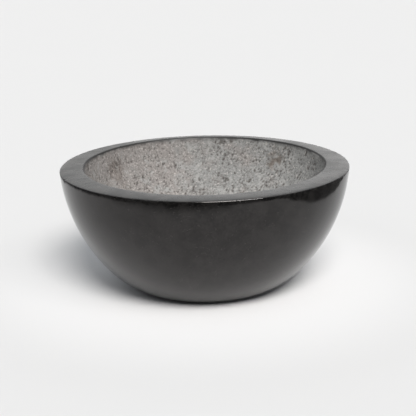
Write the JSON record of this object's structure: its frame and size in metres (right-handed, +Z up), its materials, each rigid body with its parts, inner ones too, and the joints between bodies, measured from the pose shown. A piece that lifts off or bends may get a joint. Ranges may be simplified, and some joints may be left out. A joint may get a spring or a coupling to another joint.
{
  "type": "molcajete",
  "caption": "Footless round stone mortar bowl with a polished black outside, a flat ground rim and a rough pecked hollow.",
  "frame": {"origin": "centre of the flat foot that the bowl stands on", "axes": "+Z up out of the hollow; -Y towards the front, where the rim is widest; X across"},
  "size_m": [0.1998, 0.1998, 0.085],
  "materials": {
    "stone": "polished outside, ground rim, pecked hollow"
  },
  "bodies": {
    "root": {"stone_bowl": "stone"}
  },
  "joints": []
}
